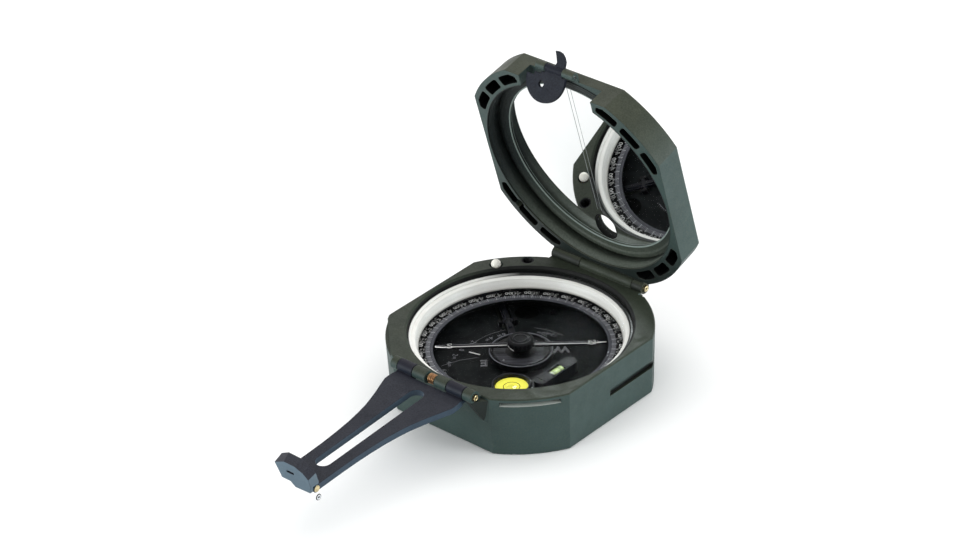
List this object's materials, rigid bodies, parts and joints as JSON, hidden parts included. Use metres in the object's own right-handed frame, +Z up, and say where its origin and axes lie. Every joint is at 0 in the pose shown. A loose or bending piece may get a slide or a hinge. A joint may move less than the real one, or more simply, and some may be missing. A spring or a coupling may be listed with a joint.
{
  "type": "sighting compass",
  "caption": "Pocket transit: square case with needle, turning dial and levels, mirrored hinged lid with folding front sight, and a slotted sighting arm with a folding peep sight.",
  "frame": {"origin": "centre of the case's underside, on the needle's axis", "axes": "+Z up, +Y towards the lid hinge, the sight arm reaches towards -Y, +X to the right of someone looking along the arm to the lid"},
  "size_m": [0.07, 0.1416, 0.099],
  "materials": {
    "case_paint": "satin crinkle paint, olive grey",
    "arm_paint": "satin dark slate paint",
    "brass": "turned, lightly tarnished",
    "copper_wire": "drawn wire",
    "steel": "machined",
    "black_metal": "matt black lacquer",
    "ring_grey": "moulded, matt",
    "white_enamel": "gloss white",
    "gasket_rubber": "matt",
    "clear_glass": "polished",
    "silvered_glass": "polished",
    "level_yellow": "bright yellow",
    "vial_green": "filled vial",
    "needle_paint": "matt black lacquer"
  },
  "bodies": {
    "case": {"case_body": "case_paint", "white_ring": "white_enamel", "window_glass": "clear_glass", "glass_gasket": "gasket_rubber", "retaining_ring": "black_metal", "floor_plate": "black_metal", "floor_screws": "steel", "lift_pin_bush": "brass", "lift_spring": "steel", "lever_pivot": "steel", "socket_insert": "black_metal", "arm_hinge_pin": "brass", "lid_hinge_pin": "brass", "arm_spring": "copper_wire"},
    "azimuth_ring": {"azimuth_ring": "ring_grey"},
    "adjuster": {"adjuster_screw": "case_paint"},
    "needle": {"compass_needle": "needle_paint", "needle_cap": "needle_paint"},
    "clinometer": {"clinometer_shaft": "steel", "level_bracket": "black_metal", "clinometer_hub": "black_metal", "index_plate": "ring_grey", "needle_pivot": "steel", "circular_level_cup": "black_metal", "circular_level_dial": "level_yellow", "circular_level_lens": "clear_glass", "tube_level_holder": "black_metal", "tube_level_vial": "vial_green", "thumb_lever": "black_metal", "shaft_screw": "steel"},
    "lift_pin": {"lift_pin": "white_enamel"},
    "lift_lever": {"lift_lever": "black_metal"},
    "lid": {"lid_shell": "case_paint", "mirror": "silvered_glass", "mirror_ring": "case_paint", "sight_window": "clear_glass", "front_sight_pin": "steel"},
    "front_sight": {"front_sight": "arm_paint"},
    "sight_arm": {"sight_arm": "arm_paint", "peep_pin": "brass"},
    "peep_sight": {"peep_sight": "arm_paint"}
  },
  "joints": [
    {"name": "lid_hinge", "type": "hinge", "parent": "case", "child": "lid", "pos_m": [0, 0.038, 0.01994], "axis": [-1, 0, 0], "range_deg": [-75, 95]},
    {"name": "front_sight_hinge", "type": "hinge", "parent": "lid", "child": "front_sight", "pos_m": [-0.0028, 0.02285, 0.09373], "axis": [-1, 0, 0], "range_deg": [-35, 50]},
    {"name": "arm_hinge", "type": "hinge", "parent": "case", "child": "sight_arm", "pos_m": [0, -0.0376, 0.02], "axis": [1, 0, 0], "range_deg": [-183, 0]},
    {"name": "peep_hinge", "type": "hinge", "parent": "sight_arm", "child": "peep_sight", "pos_m": [0, -0.09337, 0.01524], "axis": [1, 0, 0], "range_deg": [0, 80]},
    {"name": "needle_spin", "type": "hinge", "parent": "case", "child": "needle", "pos_m": [0, 0, 0.0127], "axis": [0, 0, 1], "continuous": true},
    {"name": "clinometer_turn", "type": "hinge", "parent": "case", "child": "clinometer", "pos_m": [0, 0, 0.008], "axis": [0, 0, 1], "range_deg": [-90, 90]},
    {"name": "azimuth_turn", "type": "hinge", "parent": "case", "child": "azimuth_ring", "pos_m": [0, 0, 0.0122], "axis": [0, 0, 1], "range_deg": [-101, 101]},
    {"name": "adjuster_turn", "type": "hinge", "parent": "case", "child": "adjuster", "pos_m": [-0.02857, -0.02483, 0.0141], "axis": [-0.7547, -0.6561, 0], "continuous": true},
    {"name": "lift_pin_slide", "type": "slide", "parent": "case", "child": "lift_pin", "axis": [0, 0, -1], "range_m": [0, 0.0013], "stiffness_N_per_m": 150, "springref_m": -0.002, "deforming": ["lift_spring"]},
    {"name": "lift_lever_rock", "type": "hinge", "parent": "case", "child": "lift_lever", "pos_m": [-0.01587, 0.01218, 0.0086], "axis": [-0.6089, -0.7932, 0], "range_deg": [0, 4.8]}
  ],
  "couplings": [
    {"joint": "peep_hinge", "follows": "arm_hinge", "ratio": -0.42},
    {"joint": "adjuster_turn", "follows": "azimuth_turn", "ratio": 25.7},
    {"joint": "lift_lever_rock", "follows": "lift_pin_slide", "rad_per_m": 63.291}
  ]
}
